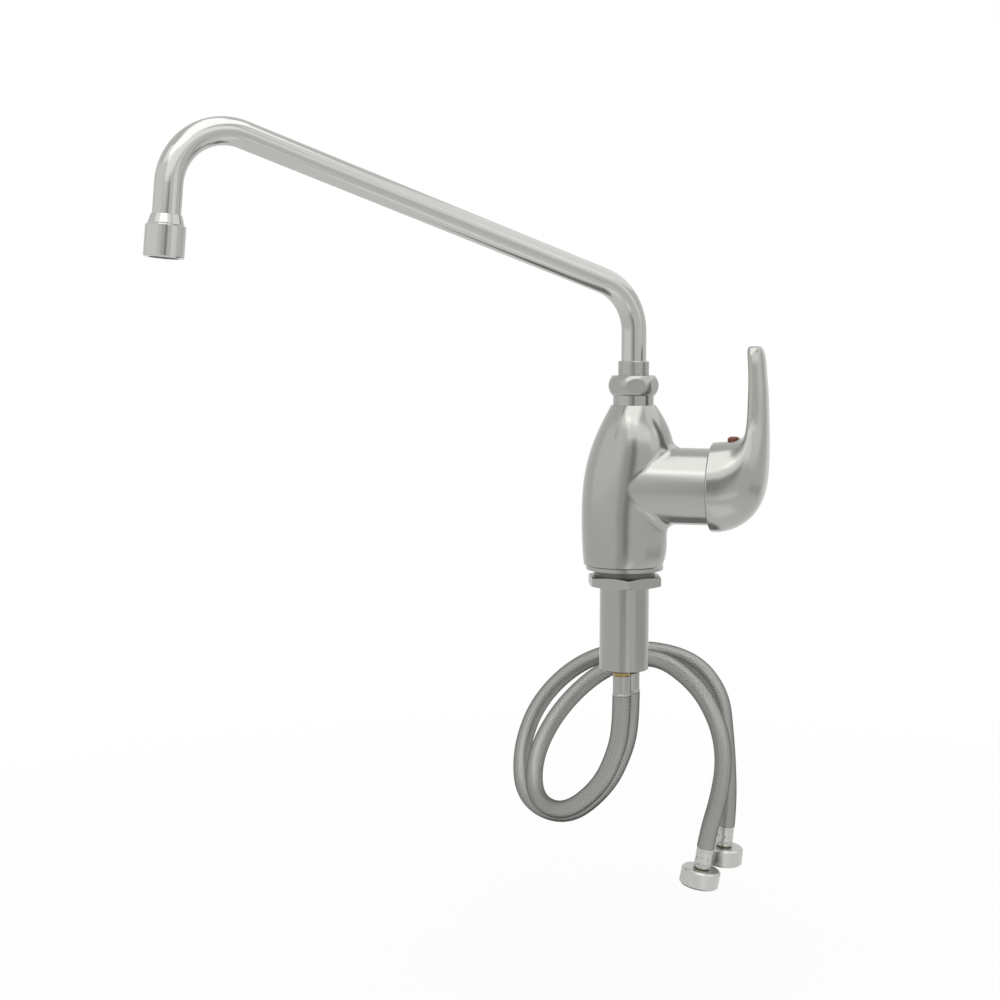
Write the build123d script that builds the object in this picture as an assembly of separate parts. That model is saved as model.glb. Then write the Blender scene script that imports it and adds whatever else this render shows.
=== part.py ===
from build123d import *
import os
from math import cos, hypot, radians, sin, sqrt, tan

# A deck faucet with one side lever, a long swinging spout and two braided supply hoses.
# Sizes are millimetres. The origin is the centre of the base underside, where it meets the deck.
# +Z is up, the valve arm points along +X, and the user stands on the -Y side.

# Clearances
seat_gap = 0.05      # screwed, pressed or brazed joints
running_gap = 0.1    # a turning piece in its bearing
free_gap = 0.3       # pieces that pass each other

# Base and threaded shank
base_radius = 25.4
base_ring_height = 3.0
base_ring_inset = 0.5
edge_chamfer = 0.6
shank_radius = 15.875
shank_bore_radius = 13.5
shank_drop = 65.5
shank_engagement = 14.0
gasket_inner_radius = 17.3
gasket_outer_radius = 20.4
gasket_thickness = 1.6
mounting_nut_across_flats = 44.2
mounting_nut_height = 6.8
mounting_nut_chamfer = 15.0
mounting_nut_turn = -10.0
clamp_washer_radius = 19.7
clamp_washer_height = 3.7

# Trunk and neck of the casting
valve_height = 54.3
trunk_top = 105.5
lower_trunk_radius = 27.5
lower_trunk_depth = 25.4
belly_radius = 28.3
belly_depth = 25.1
upper_trunk_radius = 27.4
upper_trunk_depth = 24.4
shoulder_radius = 21.6
shoulder_depth = 21.0
trunk_top_radius = 14.2
neck_shift = 5.0
trunk_shift = 5.6
base_shift = 0.9
neck_ring_radius = 12.95
neck_ring_height = 5.8
neck_thread_radius = 12.8
neck_thread_length = 7.0
neck_bore_radius = 10.6
neck_bore_depth = 33.0
tee_fillet = 7.0
outlet_channel_radius = 5.5
inlet_channel_radius = 3.6

# Spout nut
spout_nut_across_flats = 29.4
spout_nut_radius = 15.9
spout_nut_end_radius = 13.4
spout_nut_top_wall = 2.2
spout_nut_turn = 19.5
collar_radius = 9.8
collar_height = 9.2

# Spout tube and the ferrule that carries it in the neck
spout_reach = 304.8
spout_rest_angle = 226.0
tube_radius = 7.95
tube_wall = 1.2
slope_corner_height = 176.2
slope_angle = 18.05
tip_lean = 5.2
outlet_height = 191.6
lower_bend_radius = 33.5
upper_bend_radius = 33.0
ferrule_length = 24.0
ferrule_flange_radius = 12.2
ferrule_flange_height = 2.4
glide_ring_height = 1.0
o_ring_radius = 0.73
o_ring_height = 5.0
o_ring_pitch = 8.0

# Spout tip and aerator, heights measured up from the outlet along the tip
aerator_radius = 11.2
aerator_height = 17.8
aerator_lip_height = 1.5
aerator_lip_radius = 8.2
tip_thread_radius = 9.6
tip_end = 9.0
tip_shoulder_height = 5.6
tip_shoulder_radius = 10.0
tip_shoulder_top_radius = 8.6
tip_bore_radius = 6.0
tube_socket_depth = 10.6
aerator_washer_height = 1.6
aerator_washer_bore = 7.0
aerator_hole_radius = 1.1
aerator_hole_circle = 5.6
aerator_hole_count = 10
screen_height = 0.5
screen_pitch = 2.2
screen_hole = 1.3

# Valve arm and cartridge, lengths measured along +X from the trunk axis
arm_radius = 24.4
arm_end = 59.0
seat_floor = 22.0
cartridge_radius = 17.4
cartridge_base_height = 5.0
inlet_port_radius = 2.8
inlet_port_drop = 5.0
outlet_port_radius = 4.0
outlet_port_rise = 8.0
seal_width = 1.5
seal_height = 1.5
disc_height = 3.0
fixed_disc_radius = 14.2
moving_disc_radius = 11.4
mixing_pocket_radius = 7.5
mixing_pocket_depth = 1.4
water_film = 0.05
carrier_radius = 12.0
carrier_height = 6.0
housing_length = 20.0
housing_wall = 1.6
housing_top_wall = 3.0
housing_neck_length = 13.0
housing_neck_radius = 13.5
rotor_radius = 11.0
rotor_flange_radius = 13.0
rotor_top_inset = 0.5
rotor_slot_length = 16.4
pin_radius = 1.5
pin_length = 20.0
pivot_depth = 6.0
stem_width = 8.0
stem_heel = 5.0
stem_end = 78.0
stem_ball_radius = 3.0
stem_ball_depth = 2.3
stem_arm_radius = 2.0
lift_angle = 22.0
cartridge_nut_radius = 19.3
cartridge_nut_height = 8.0
cartridge_nut_hex = 31.5
cartridge_nut_hex_height = 4.3
bonnet_radius = 24.4
bonnet_height = 9.0
bonnet_mouth_radius = 17.0
bonnet_spigot = 3.6
bonnet_spigot_wall = 0.8

# Handle: a cup over the arm end that sweeps up into the lever
rim_position = 56.6
rim_radius = 28.4
rim_bore_radius = 25.8
rim_bore_depth = 3.4
rim_rounding = 1.0
handle_clearance = 1.1
boss_radius = 9.0
boss_start = 67.0
boss_length = 17.0
lever_height = 88.6
button_position = 69.7
button_seat_height = 29.9
button_radius = 3.4
button_head_radius = 3.9
button_head_height = 2.2
button_recess = 1.3
button_depth = 5.3
set_screw_radius = 2.5
set_screw_length = 5.5

# How far the corners of a section fill out, on the round cup and on the boxy lever
round_fullness = 0.8
boxy_fullness = 1.375

# Sections across the handle, from the cup's rim to the lever's tip: the inner and the outer edge, along the
# arm and above its axis, half the width, the widest line's share of the depth, the outer skin's angle and
# the fullness of the corners
handle_sections = [
    ((rim_position, rim_radius), (rim_position, -rim_radius), rim_radius, 0.5, 3, round_fullness),
    ((63.0, 28.8), (66.8, -27.2), 26.6, 0.5, 3, 0.86),
    ((button_position, button_seat_height), (76.2, -22.8), 24.6, 0.5, 3, 0.96),
    ((73.6, 31.0), (83.8, -15.4), 22.8, 0.48, 4, 1.1),
    ((76.3, 32.4), (88.8, -5.2), 20.9, 0.45, 7, 1.25),
    ((78.0, 34.6), (91.0, 7.4), 18.7, 0.41, 11, boxy_fullness),
    ((79.0, 38.0), (91.6, 22.0), 16.4, 0.37, 15, boxy_fullness),
    ((79.8, 43.5), (91.5, 36.0), 14.0, 0.33, 18, boxy_fullness),
    ((80.4, 51.5), (91.0, 50.0), 12.8, 0.3, 21, boxy_fullness),
    ((80.5, 62.0), (90.3, 62.0), 12.0, 0.3, 22, boxy_fullness),
    ((80.2, 74.0), (89.2, 74.0), 11.2, 0.3, 22, boxy_fullness),
    ((79.3, 82.5), (88.2, 82.5), 10.2, 0.32, 18, boxy_fullness),
    ((78.7, 87.0), (86.6, 87.0), 8.0, 0.4, 8, boxy_fullness),
    ((80.6, lever_height), (84.6, lever_height), 4.6, 0.5, 4, boxy_fullness),
]

# Supply hoses and their end fittings
inlet_spacing = 13.2
hot_inlet_shift = 0.2
cold_inlet_shift = 3.2
tail_radius = 4.9
tail_bore_radius = 2.6
tail_thread_length = 12.0
tail_ring_radius = 5.6
tail_ring_height = 2.0
tail_ring_gap = 1.0
tail_o_ring_radius = 0.45
tail_o_ring_depth = 2.5
hose_radius = 5.9
hose_bore_radius = 4.0
hose_lead = 16.0
sleeve_radius = 5.6
upper_sleeve_length = 13.5
lower_sleeve_length = 14.0
nipple_neck_radius = 4.4
nipple_collar_radius = 8.8
nipple_collar_height = 1.6
hose_washer_radius = 9.2
hose_washer_height = 1.6
coupling_radius = 13.2
coupling_flange = 2.5
coupling_gap = 0.5
coupling_relief_radius = 10.0
coupling_thread_radius = 9.4
coupling_thread_length = 6.0
coupling_edge = 1.2

# Hose routes below the straight lead, chosen by hand: down, left and back, up behind the shank, over
# to the right and down again
hot_route = [
    (-2.5, -6.5, -118),
    (-14.5, -4, -144.5),
    (-41, 3.5, -167),
    (-68.5, 26, -165.5),
    (-76.5, 54, -141),
    (-63, 75, -110),
    (-34, 85, -82.5),
    (2, 80, -70),
    (33.5, 71, -87),
    (51, 62, -111),
    (57, 55.5, -135.5),
    (54.3, 50.5, -159.5),
    (48.3, 47, -182),
    (46.3, 46.4, -194),
]
cold_route = [
    (-1, 12, -121),
    (-15.5, 17, -151),
    (-46, 27, -177.5),
    (-83.5, 52, -174),
    (-94, 76, -145),
    (-85, 93, -111),
    (-55, 101, -81.5),
    (-14, 99, -69.5),
    (27, 94, -74.5),
    (48, 88.5, -96.5),
    (52.5, 82.5, -124),
    (55.3, 78, -149.5),
    (56.2, 75, -172.5),
    (55.1, 74.7, -186),
]

# Where the hose tails enter the casting, along the arm and across it
hot_inlet = (hot_inlet_shift, -inlet_spacing / 2)
cold_inlet = (cold_inlet_shift, inlet_spacing / 2)

# Heights worked out from the sizes above
shank_top = base_ring_height + shank_engagement
neck_ring_top = trunk_top + neck_ring_height
neck_top = neck_ring_top + neck_thread_length
flange_low = neck_top + glide_ring_height + water_film
flange_high = flange_low + ferrule_flange_height
ferrule_low = flange_high - ferrule_length
ferrule_radius = neck_bore_radius - running_gap
nut_shoulder = flange_high + free_gap
spout_nut_low = neck_ring_top + free_gap
spout_nut_high = nut_shoulder + spout_nut_top_wall
collar_top = spout_nut_high + collar_height
nut_high = -free_gap - clamp_washer_height
nut_low = nut_high - mounting_nut_height
shank_fit_radius = shank_radius + free_gap

# Places along the valve arm worked out from the sizes above
base_top = seat_floor + cartridge_base_height
fixed_disc_top = base_top + disc_height
moving_disc_low = fixed_disc_top + water_film
moving_disc_top = moving_disc_low + disc_height
carrier_top = moving_disc_top + carrier_height
housing_shoulder = base_top + housing_length
housing_end = housing_shoulder + housing_neck_length
housing_bore_radius = cartridge_radius - housing_wall
pivot = housing_end - pivot_depth
stem_ball = carrier_top - stem_ball_depth
closed_offset = (pivot - stem_ball) * tan(radians(lift_angle / 2))
cartridge_nut_top = housing_shoulder + cartridge_nut_height

# Frames: the valve frame has its z along the arm, its x along +Y and its y upwards
valve_frame = Plane(origin=(0, 0, valve_height), x_dir=(0, 1, 0), z_dir=(1, 0, 0))
neck_frame = Plane(origin=(neck_shift, 0, 0))
outward = Vector(cos(radians(spout_rest_angle)), sin(radians(spout_rest_angle)), 0)


def spout_point(out, height):
    """A point in the upright plane of the resting spout."""
    return Vector(neck_shift, 0, height) + outward * out


tip_up = outward * -sin(radians(tip_lean)) + Vector(0, 0, cos(radians(tip_lean)))
tip_frame = Plane(origin=spout_point(spout_reach, outlet_height), x_dir=tip_up.cross(outward), z_dir=tip_up)


def turned(*profile):
    """A solid turned about Z from a closed outline of (radius, height) points."""
    return revolve(Plane.XZ * make_face(Polyline(*profile, close=True)), Axis.Z)


def ring(outer, inner, low, high):
    """A plain tube about Z between two heights."""
    return turned((inner, low), (outer, low), (outer, high), (inner, high))


def rod(radius, low, high):
    """A plain round bar about Z between two heights."""
    return turned((0, low), (radius, low), (radius, high), (0, high))


def hexagon(across_flats, low, high, turn=0):
    """A six sided prism about Z between two heights."""
    outline = RegularPolygon(across_flats / 2, 6, major_radius=False, rotation=turn)
    return extrude(Plane(origin=(0, 0, low)) * outline, high - low)


def torus(centre_radius, section_radius, height):
    """A round seal about Z."""
    section = Plane.XZ * Pos(centre_radius, height) * Circle(section_radius)
    return revolve(section, Axis.Z)


def base_ring():
    outer = base_radius - base_ring_inset
    body = turned(
        (shank_fit_radius, 0),
        (outer, 0),
        (outer, base_ring_height - edge_chamfer),
        (outer - edge_chamfer, base_ring_height),
        (shank_fit_radius, base_ring_height),
    )
    groove = ring(gasket_outer_radius + seat_gap, gasket_inner_radius - seat_gap, 0, gasket_thickness)
    return body - groove


def base_gasket():
    return ring(gasket_outer_radius, gasket_inner_radius, 0, gasket_thickness)


def mounting_shank():
    return turned(
        (shank_bore_radius, -shank_drop),
        (shank_radius - edge_chamfer, -shank_drop),
        (shank_radius, -shank_drop + edge_chamfer),
        (shank_radius, shank_top),
        (shank_bore_radius, shank_top),
    )


def mounting_nut():
    corner = mounting_nut_across_flats / 2 / cos(radians(30))
    face = mounting_nut_across_flats / 2
    drop = (corner - face) * tan(radians(mounting_nut_chamfer))
    blank = turned(
        (shank_fit_radius, nut_low),
        (face, nut_low),
        (corner, nut_low + drop),
        (corner, nut_high - drop),
        (face, nut_high),
        (shank_fit_radius, nut_high),
    )
    return blank & hexagon(mounting_nut_across_flats, nut_low, nut_high, mounting_nut_turn)


def clamp_washer():
    return ring(clamp_washer_radius, shank_fit_radius, nut_high, -free_gap)


def trunk():
    """The lens shaped trunk: ovals, flatter at front and back, that lean towards the arm as they rise."""
    rise = trunk_top - valve_height
    sections = [
        (base_ring_height, base_radius, base_radius, -base_shift),
        (valve_height / 2, lower_trunk_radius, lower_trunk_depth, -base_shift / 2),
        (valve_height, belly_radius, belly_depth, trunk_shift * 0.22),
        (valve_height + rise * 0.37, upper_trunk_radius, upper_trunk_depth, trunk_shift * 0.72),
        (valve_height + rise * 0.74, shoulder_radius, shoulder_depth, trunk_shift),
        (trunk_top, trunk_top_radius, trunk_top_radius, neck_shift),
    ]
    ovals = [
        Plane(origin=(shift, 0, height)) * Ellipse(side, depth) for height, side, depth, shift in sections
    ]
    return loft(ovals)


def body_casting():
    neck = rod(neck_ring_radius, trunk_top - neck_ring_height, neck_ring_top)
    neck += rod(neck_thread_radius, neck_ring_top, neck_top)
    body = trunk() + valve_frame * rod(arm_radius, 0, arm_end)

    def joins_arm(edge):
        middle = edge @ 0.5
        from_axis = sqrt(middle.Y**2 + (middle.Z - valve_height) ** 2)
        return abs(from_axis - arm_radius) < seat_gap and middle.X < arm_end - tee_fillet

    body = fillet(body.edges().filter_by(joins_arm), tee_fillet)
    body += neck_frame * neck
    return body - body_passages()


def body_passages():
    """Everything drilled out of the casting: shank socket, inlets, valve bore, outlet and neck bore."""
    cut = rod(shank_radius + seat_gap, 0, shank_top)
    inlet_height = valve_height - inlet_port_drop
    outlet_height_in_body = valve_height + outlet_port_rise
    for along, aside in (hot_inlet, cold_inlet):
        inlet = Pos(along, aside)
        cut += inlet * rod(tail_radius + seat_gap, shank_top, shank_top + tail_thread_length)
        cut += inlet * rod(inlet_channel_radius, shank_top, inlet_height + inlet_port_radius)
        cut += valve_frame * Pos(aside, -inlet_port_drop) * rod(inlet_port_radius, 0, seat_floor)
    cut += valve_frame * Pos(0, outlet_port_rise) * rod(outlet_port_radius, neck_shift, seat_floor)
    channel = rod(outlet_channel_radius, outlet_height_in_body - outlet_port_radius, neck_top)
    cut += neck_frame * channel
    cut += neck_frame * rod(neck_bore_radius, neck_top - neck_bore_depth, neck_top)
    cut += valve_frame * rod(cartridge_radius + seat_gap, seat_floor, arm_end)
    cut += valve_frame * rod(cartridge_nut_radius + seat_gap, housing_shoulder, arm_end)
    return cut


def spout_nut():
    """A barrel shaped nut with six flats and a round collar that guides the tube."""
    middle = (spout_nut_low + spout_nut_high) / 2
    thread = neck_thread_radius + seat_gap
    guide = tube_radius + free_gap
    low_end = (spout_nut_end_radius, spout_nut_low)
    high_end = (spout_nut_end_radius, spout_nut_high)
    collar_edge = collar_radius - edge_chamfer
    outline = ThreePointArc(low_end, (spout_nut_radius, middle), high_end)
    outline += Polyline(
        high_end,
        (collar_radius, spout_nut_high),
        (collar_radius, collar_top - edge_chamfer),
        (collar_edge, collar_top),
        (guide, collar_top),
        (guide, nut_shoulder),
        (thread, nut_shoulder),
        (thread, spout_nut_low),
        low_end,
    )
    barrel = revolve(Plane.XZ * make_face(outline), Axis.Z)
    flats = hexagon(spout_nut_across_flats, spout_nut_low, collar_top, spout_nut_turn)
    return neck_frame * (barrel & flats)


def glide_ring():
    return neck_frame * ring(neck_thread_radius, neck_bore_radius, neck_top, neck_top + glide_ring_height)


def spout_path():
    """The centre line of the tube, from the ferrule up, along the slope and down to the tip."""
    slope = tan(radians(slope_angle))
    lean = radians(tip_lean)
    rise = slope_corner_height - outlet_height + spout_reach * slope
    tip_run = rise / (cos(lean) + sin(lean) * slope)
    top_corner = tip_frame.origin + tip_up * tip_run
    tube_end = tip_frame.origin + tip_up * (aerator_height + tip_shoulder_height - tube_socket_depth)
    return FilletPolyline(
        spout_point(0, ferrule_low),
        spout_point(0, slope_corner_height),
        top_corner,
        tube_end,
        radius=[lower_bend_radius, upper_bend_radius],
    )


def spout_tube():
    section = Circle(tube_radius) - Circle(tube_radius - tube_wall)
    return sweep(Plane(origin=spout_point(0, ferrule_low)) * section, spout_path())


def o_ring_heights():
    return [ferrule_low + o_ring_height, ferrule_low + o_ring_height + o_ring_pitch]


def spout_o_rings():
    centre = neck_bore_radius - seat_gap - o_ring_radius
    return [neck_frame * torus(centre, o_ring_radius, height) for height in o_ring_heights()]


def spout_ferrule():
    socket = tube_radius + seat_gap
    body = ring(ferrule_radius, socket, ferrule_low, flange_high)
    body += ring(ferrule_flange_radius, socket, flange_low, flange_high)
    groove = neck_bore_radius - 2 * seat_gap - 2 * o_ring_radius
    half = o_ring_radius + seat_gap
    for height in o_ring_heights():
        body -= ring(neck_bore_radius, groove, height - half, height + half)
    return neck_frame * body


def tip_adapter():
    shoulder_top = aerator_height + tip_shoulder_height
    socket_floor = shoulder_top - tube_socket_depth
    socket = tube_radius + seat_gap
    return tip_frame * turned(
        (tip_bore_radius, tip_end),
        (tip_thread_radius, tip_end),
        (tip_thread_radius, aerator_height),
        (tip_shoulder_radius, aerator_height),
        (tip_shoulder_radius, aerator_height + edge_chamfer),
        (tip_shoulder_top_radius, shoulder_top),
        (socket, shoulder_top),
        (socket, socket_floor),
        (tip_bore_radius, socket_floor),
    )


def aerator_shell():
    bore = tip_thread_radius + seat_gap
    return tip_frame * turned(
        (aerator_lip_radius, 0),
        (aerator_radius - edge_chamfer, 0),
        (aerator_radius, edge_chamfer),
        (aerator_radius, aerator_height - edge_chamfer),
        (aerator_radius - edge_chamfer, aerator_height),
        (bore, aerator_height),
        (bore, aerator_lip_height),
        (aerator_lip_radius, aerator_lip_height),
    )


def aerator_washer():
    return tip_frame * ring(tip_thread_radius, aerator_washer_bore, tip_end - aerator_washer_height, tip_end)


def aerator_insert():
    high = tip_end - aerator_washer_height
    body = rod(tip_thread_radius, aerator_lip_height, high)
    hole = rod(aerator_hole_radius, aerator_lip_height, high)
    for location in PolarLocations(aerator_hole_circle, aerator_hole_count):
        body -= location * hole
    return tip_frame * body


def aerator_screen():
    radius = aerator_lip_radius - running_gap
    disc = Circle(radius)
    count = int(2 * radius / screen_pitch)
    reach = radius - screen_hole
    holes = [
        Pos(place.position.X, place.position.Y) * Rectangle(screen_hole, screen_hole)
        for place in GridLocations(screen_pitch, screen_pitch, count, count)
        if place.position.length < reach
    ]
    low = aerator_lip_height - screen_height
    return tip_frame * extrude(Plane(origin=(0, 0, low)) * (disc - holes), screen_height)


def ports():
    """The two inlets and the outlet on the valve seat: place across, place up, radius."""
    aside = inlet_spacing / 2
    return [
        (-aside, -inlet_port_drop, inlet_port_radius),
        (aside, -inlet_port_drop, inlet_port_radius),
        (0, outlet_port_rise, outlet_port_radius),
    ]


def cartridge_base():
    body = rod(cartridge_radius, seat_floor, base_top)
    for across, up, radius in ports():
        body -= Pos(across, up) * rod(radius, seat_floor, base_top)
        body -= Pos(across, up) * rod(radius + seal_width, seat_floor, seat_floor + seal_height)
    return valve_frame * body


def port_seals():
    seal_top = seat_floor + seal_height
    return [
        valve_frame * Pos(across, up) * ring(radius + seal_width, radius, seat_floor, seal_top)
        for across, up, radius in ports()
    ]


def fixed_disc():
    body = rod(fixed_disc_radius, base_top, fixed_disc_top)
    for across, up, radius in ports():
        body -= Pos(across, up) * rod(radius, base_top, fixed_disc_top)
    return valve_frame * body


def moving_disc():
    body = rod(moving_disc_radius, moving_disc_low, moving_disc_top)
    body -= rod(mixing_pocket_radius, moving_disc_low, moving_disc_low + mixing_pocket_depth)
    return valve_frame * Pos(0, -closed_offset) * body


def disc_carrier():
    socket = stem_ball_radius + running_gap
    return valve_frame * Pos(0, -closed_offset) * ring(carrier_radius, socket, moving_disc_top, carrier_top)


def cartridge_housing():
    neck_bore = rotor_radius + running_gap
    ceiling = housing_shoulder - housing_top_wall
    return valve_frame * turned(
        (housing_bore_radius, base_top),
        (cartridge_radius, base_top),
        (cartridge_radius, housing_shoulder),
        (housing_neck_radius, housing_shoulder),
        (housing_neck_radius, housing_end),
        (neck_bore, housing_end),
        (neck_bore, ceiling),
        (housing_bore_radius, ceiling),
    )


def stem_rotor():
    low = carrier_top + free_gap
    flange_top = housing_shoulder - housing_top_wall - running_gap
    high = housing_end - rotor_top_inset
    body = rod(rotor_flange_radius, low, flange_top) + rod(rotor_radius, low, high)
    slot_width = stem_width + free_gap
    body -= Pos(0, 0, (low + high) / 2) * Box(slot_width, rotor_slot_length, high - low)
    return valve_frame * (body - pin_bar(pin_radius + seat_gap, 2 * rotor_radius))


def pin_bar(radius, length):
    """A round bar across the arm at the lever's pivot, in the valve frame."""
    return Pos(0, 0, pivot) * Rot(0, 90, 0) * rod(radius, -length / 2, length / 2)


def stem_pin():
    return valve_frame * pin_bar(pin_radius, pin_length)


def lever_stem():
    heel = pivot - stem_heel
    bar = Pos(0, 0, (heel + stem_end) / 2) * Box(stem_width, stem_width, stem_end - heel)
    ball_centre = Vector(0, -closed_offset, stem_ball)
    arm_line = Vector(0, 0, pivot) - ball_centre
    arm = Plane(origin=ball_centre, z_dir=arm_line) * rod(stem_arm_radius, 0, arm_line.length)
    body = bar + arm + Pos(*ball_centre) * Sphere(stem_ball_radius)
    return valve_frame * (body - pin_bar(pin_radius + running_gap, 2 * stem_width))


def cartridge_nut():
    bore = housing_neck_radius + free_gap
    body = rod(cartridge_nut_radius, housing_shoulder, cartridge_nut_top)
    body += hexagon(cartridge_nut_hex, cartridge_nut_top, cartridge_nut_top + cartridge_nut_hex_height)
    return valve_frame * (body - rod(bore, housing_shoulder, housing_end))


def bonnet_cap():
    """A ball shaped cover ring centred on the lever's pivot, pushed into the mouth of the arm."""

    def ball(place):
        return sqrt(bonnet_radius**2 - (place - pivot) ** 2)

    top = arm_end + bonnet_height
    spigot_end = arm_end - bonnet_spigot
    spigot_bore = cartridge_nut_radius - bonnet_spigot_wall
    outer_low = (ball(arm_end), arm_end)
    outer_middle = (ball(arm_end + bonnet_height / 2), arm_end + bonnet_height / 2)
    outer_top = (ball(top), top)
    outline = ThreePointArc(outer_low, outer_middle, outer_top)
    outline += Polyline(
        outer_top,
        (bonnet_mouth_radius, top),
        (spigot_bore, arm_end),
        (spigot_bore, spigot_end),
        (cartridge_nut_radius, spigot_end),
        (cartridge_nut_radius, arm_end),
        outer_low,
    )
    return valve_frame * revolve(Plane.XZ * make_face(outline), Axis.Z)


def end_pull(rise, half_width, fullness):
    """How strongly a skin starts off from its side before it bends over its rise."""
    return fullness * hypot(2 * rise, half_width) / hypot(rise, half_width)


def handle_section(inner, outer, half_width, crest, corner, fullness):
    """A section across the handle between its inner and outer edge, given along the arm and above its axis.

    Its widest line lies at the crest, a share of the depth from the inner edge, and the outer skin starts
    there at the corner angle. The fullness swells the corners of both skins.
    """
    inner_point = Vector(inner[0], 0, valve_height + inner[1])
    outer_point = Vector(outer[0], 0, valve_height + outer[1])
    across = inner_point - outer_point
    depth = across.length
    origin = inner_point - across * crest
    side = (half_width, 0)
    other_side = (-half_width, 0)
    rise = depth * crest
    fall = depth - rise
    inner_skin = Spline(
        side,
        (0, rise),
        other_side,
        tangents=[(0, 1), (0, -1)],
        tangent_scalars=[end_pull(rise, half_width, fullness)] * 2,
    )
    lean = (sin(radians(corner)), -cos(radians(corner)))
    outer_skin = Spline(
        other_side,
        (0, -fall),
        side,
        tangents=[lean, (lean[0], -lean[1])],
        tangent_scalars=[end_pull(fall, half_width, fullness)] * 2,
    )
    plane = Plane(origin=origin, x_dir=(0, 1, 0), z_dir=Vector(0, 1, 0).cross(across))
    return plane * make_face(inner_skin + outer_skin)


def handle_shape():
    """The cup sweeps up into the lever through sections that fan about the lever's root."""
    shape = loft([handle_section(*section) for section in handle_sections])
    rim = shape.faces().sort_by(Axis.X)[0]
    return fillet(rim.edges(), rim_rounding)


def upright(radius, low, high):
    """A bar that stands over the valve axis at the button's place, in the valve frame."""
    return Pos(0, 0, button_position) * Rot(-90, 0, 0) * rod(radius, low, high)


def handle():
    hollow = rod(rim_bore_radius, 0, rim_position + rim_bore_depth)
    hollow += Pos(0, 0, pivot) * Sphere(bonnet_radius + handle_clearance)
    boss = rod(boss_radius, boss_start, boss_start + boss_length)
    socket_width = stem_width + 2 * seat_gap
    socket_middle = (boss_start + stem_end) / 2
    socket = Pos(0, 0, socket_middle) * Box(socket_width, socket_width, stem_end - boss_start)
    top = button_seat_height + button_head_height
    screw_hole = upright(set_screw_radius + seat_gap, 0, boss_radius + free_gap)
    button_hole = upright(button_radius + seat_gap, boss_radius + free_gap, top)
    button_seat = upright(button_head_radius + seat_gap, button_seat_height - button_recess, top)
    body = handle_shape() - valve_frame * hollow + valve_frame * boss
    return body - valve_frame * (socket + screw_hole + button_hole + button_seat)


def set_screw():
    low = stem_width / 2 + seat_gap
    return valve_frame * upright(set_screw_radius, low, low + set_screw_length)


def index_button():
    seat = button_seat_height - button_recess
    top = button_seat_height + button_head_height
    shaft = rod(button_radius, seat - button_depth, seat)
    head = turned(
        (0, seat),
        (button_head_radius, seat),
        (button_head_radius, top - button_head_height / 2),
        (button_head_radius * 0.6, top),
        (0, top),
    )
    return valve_frame * Pos(0, 0, button_position) * Rot(-90, 0, 0) * (shaft + head)


# Heights of a hose's upper fittings
tail_top = shank_top + tail_thread_length
tail_ring_top = -shank_drop - tail_ring_gap
sleeve_top = tail_ring_top - tail_ring_height
sleeve_low = sleeve_top - upper_sleeve_length

# Lengths along a hose's lower fittings, measured from the end of the braid
coupling_top = lower_sleeve_length + coupling_gap
relief_top = coupling_top + coupling_flange
collar_low = relief_top + free_gap
washer_low = collar_low + nipple_collar_height
thread_top = washer_low + hose_washer_height
coupling_end = thread_top + coupling_thread_length


def hose_tail(place):
    """The brass tail that screws up into the casting, with the ring that shows below the shank."""
    barb = hose_bore_radius - seat_gap
    body = turned(
        (tail_bore_radius, sleeve_low),
        (barb, sleeve_low),
        (barb, sleeve_top),
        (tail_ring_radius, sleeve_top),
        (tail_ring_radius, tail_ring_top),
        (tail_radius, tail_ring_top),
        (tail_radius, tail_top),
        (tail_bore_radius, tail_top),
    )
    groove = tail_radius - 2 * tail_o_ring_radius - seat_gap
    middle = tail_top - tail_o_ring_depth
    half = tail_o_ring_radius + seat_gap
    return Pos(*place) * (body - ring(tail_radius + seat_gap, groove, middle - half, middle + half))


def tail_o_ring(place):
    centre = tail_radius - tail_o_ring_radius
    return Pos(*place) * torus(centre, tail_o_ring_radius, tail_top - tail_o_ring_depth)


def upper_sleeve(place):
    return Pos(*place) * ring(sleeve_radius, hose_bore_radius, sleeve_low, sleeve_top)


def hose_points(place, route):
    lead = [Vector(*place, sleeve_low - drop) for drop in (0, hose_lead)]
    return lead + [Vector(*point) for point in route]


def hose_bends(points):
    """The largest bend that each corner's two runs leave room for."""
    bends = []
    for before, corner, after in zip(points, points[1:], points[2:]):
        arriving = corner - before
        leaving = after - corner
        half_turn = radians(arriving.get_angle(leaving)) / 2
        bends.append(0.45 * min(arriving.length, leaving.length) / tan(half_turn))
    return bends


def braided_hose(name, points):
    bends = hose_bends(points)
    path = FilletPolyline(*points, radius=bends)
    section = Circle(hose_radius) - Circle(hose_bore_radius)
    start = Plane(origin=points[0], z_dir=points[1] - points[0])
    hose = sweep(start * section, path)
    print(name, "bend radii", [round(bend, 1) for bend in bends])
    length = round(path.length, 1)
    swept_volume = round(section.area * path.length)
    print(name, "length", length, "volume", round(hose.volume), swept_volume)
    return hose


def hose_end(points):
    """The frame at the braid's lower end, with its z leading on out of the hose."""
    return Plane(origin=points[-1], z_dir=points[-1] - points[-2])


def lower_sleeve():
    return ring(sleeve_radius, hose_bore_radius, 0, lower_sleeve_length)


def hose_nipple():
    barb = hose_bore_radius - seat_gap
    return turned(
        (tail_bore_radius, 0),
        (barb, 0),
        (barb, lower_sleeve_length),
        (nipple_neck_radius, lower_sleeve_length),
        (nipple_neck_radius, collar_low),
        (nipple_collar_radius, collar_low),
        (nipple_collar_radius, washer_low),
        (tail_bore_radius, washer_low),
    )


def hose_washer():
    return ring(hose_washer_radius, nipple_neck_radius, washer_low, thread_top)


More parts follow.
